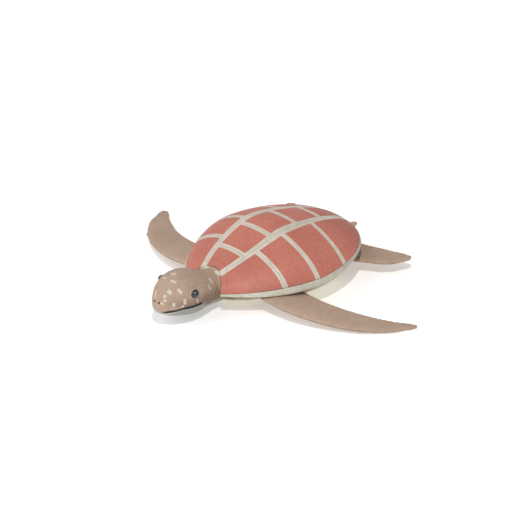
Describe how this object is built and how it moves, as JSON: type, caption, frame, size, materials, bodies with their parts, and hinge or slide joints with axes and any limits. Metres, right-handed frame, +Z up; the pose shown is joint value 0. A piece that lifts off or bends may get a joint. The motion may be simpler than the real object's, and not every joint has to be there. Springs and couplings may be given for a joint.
{
  "type": "sea turtle model",
  "caption": "Life-size still model of a loggerhead sea turtle lying on its belly with its flippers spread and its head raised forward.",
  "frame": {"origin": "on the ground, under the middle of the flat of the belly plate", "axes": "+Z up, the head points along -Y and the tail along +Y, +X is the animal's left side"},
  "size_m": [1.446, 1.128, 0.2647],
  "materials": {
    "scute": "satin terracotta horn with pale cream bands along the seams",
    "rim": "satin cream horn",
    "plastron": "satin pale yellow-cream horn",
    "skin": "dry tan-brown scaly skin, paler in the seams between scales",
    "throat": "pale grey-cream scaly skin",
    "beak": "smooth worn brown horn",
    "claw": "smooth dark horn",
    "eye": "wet dark eyeball"
  },
  "bodies": {
    "root": {"beak_lower": "beak", "beak_upper": "beak", "costal_1_left": "scute", "costal_1_right": "scute", "costal_2_left": "scute", "costal_2_right": "scute", "costal_3_left": "scute", "costal_3_right": "scute", "costal_4_left": "scute", "costal_4_right": "scute", "eye_left": "eye", "eye_right": "eye", "front_claw_left": "claw", "front_claw_right": "claw", "front_flipper_left": "skin", "front_flipper_right": "skin", "head": "skin", "hind_claw_left": "claw", "hind_claw_right": "claw", "hind_flipper_left": "skin", "hind_flipper_right": "skin", "lower_jaw": "throat", "marginal_01_left": "rim", "marginal_01_right": "rim", "marginal_02_left": "rim", "marginal_02_right": "rim", "marginal_03_left": "rim", "marginal_03_right": "rim", "marginal_04_left": "rim", "marginal_04_right": "rim", "marginal_05_left": "rim", "marginal_05_right": "rim", "marginal_06_left": "rim", "marginal_06_right": "rim", "marginal_07_left": "rim", "marginal_07_right": "rim", "marginal_08_left": "rim", "marginal_08_right": "rim", "marginal_09_left": "rim", "marginal_09_right": "rim", "marginal_10_left": "rim", "marginal_10_right": "rim", "marginal_11_left": "rim", "marginal_11_right": "rim", "marginal_12_left": "rim", "marginal_12_right": "rim", "neck": "skin", "nuchal": "scute", "plastron_front_left": "plastron", "plastron_front_right": "plastron", "plastron_rear_left": "plastron", "plastron_rear_right": "plastron", "tail": "skin", "trunk": "skin", "vertebral_1": "scute", "vertebral_2": "scute", "vertebral_3": "scute", "vertebral_4": "scute", "vertebral_5": "scute"}
  },
  "joints": []
}
